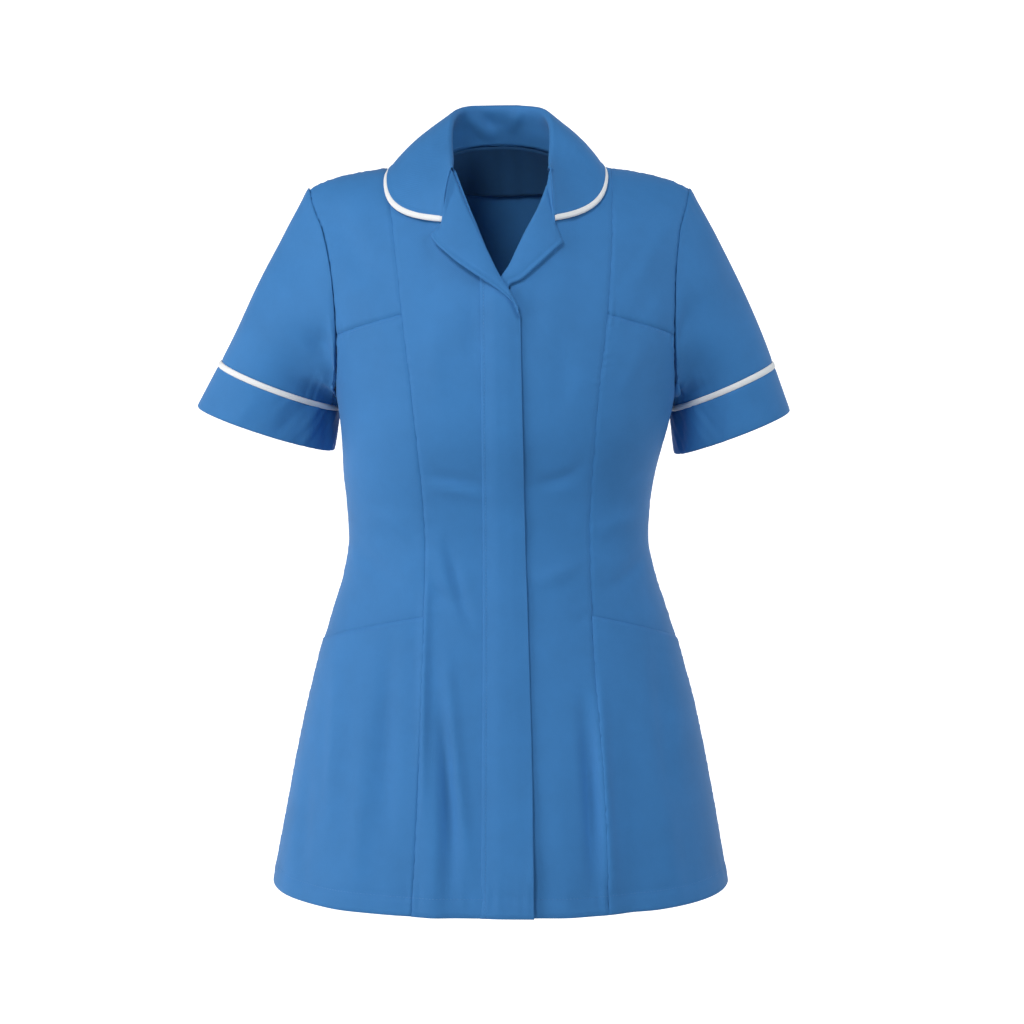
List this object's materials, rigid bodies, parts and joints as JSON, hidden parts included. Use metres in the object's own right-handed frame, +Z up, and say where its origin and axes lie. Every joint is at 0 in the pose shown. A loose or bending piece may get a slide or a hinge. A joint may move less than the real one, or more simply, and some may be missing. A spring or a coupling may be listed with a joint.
{
  "type": "zip-front tunic",
  "caption": "Fitted short-sleeved zip-front work tunic with a round piped collar, small lapels, piped cuffs, shaped panels and hip pockets.",
  "frame": {"origin": "midway between the two neck points of the shoulder seams, where the wearer's shoulders hold the tunic", "axes": "+Z up towards the collar, -Y out of the front, so the wearer's right side lies at -X"},
  "size_m": [0.5648, 0.3014, 0.7455],
  "materials": {
    "blue_twill": "fine polycotton twill with a slight sheen",
    "white_piping": "matt woven piping",
    "zip_tape": "woven tape",
    "zip_teeth": "moulded plastic",
    "zip_metal": "satin"
  },
  "bodies": {
    "root": {"front_centre_right": "blue_twill", "front_centre_left": "blue_twill", "front_side_lower_right": "blue_twill", "front_side_lower_left": "blue_twill", "front_side_upper_right": "blue_twill", "front_side_upper_left": "blue_twill", "pocket_right": "blue_twill", "pocket_left": "blue_twill", "back_centre": "blue_twill", "back_side_right": "blue_twill", "back_side_left": "blue_twill", "back_neck_facing": "blue_twill", "sleeve_right": "blue_twill", "sleeve_left": "blue_twill", "cuff_right": "blue_twill", "cuff_left": "blue_twill", "collar": "blue_twill", "lapel_right": "blue_twill", "lapel_left": "blue_twill", "fly_placket": "blue_twill", "cuff_piping_right": "white_piping", "cuff_piping_left": "white_piping", "collar_piping": "white_piping", "zip_tape_right": "zip_tape", "zip_tape_left": "zip_tape", "zip_chain": "zip_teeth", "zip_slider": "zip_metal", "zip_pull": "zip_metal"}
  },
  "joints": []
}
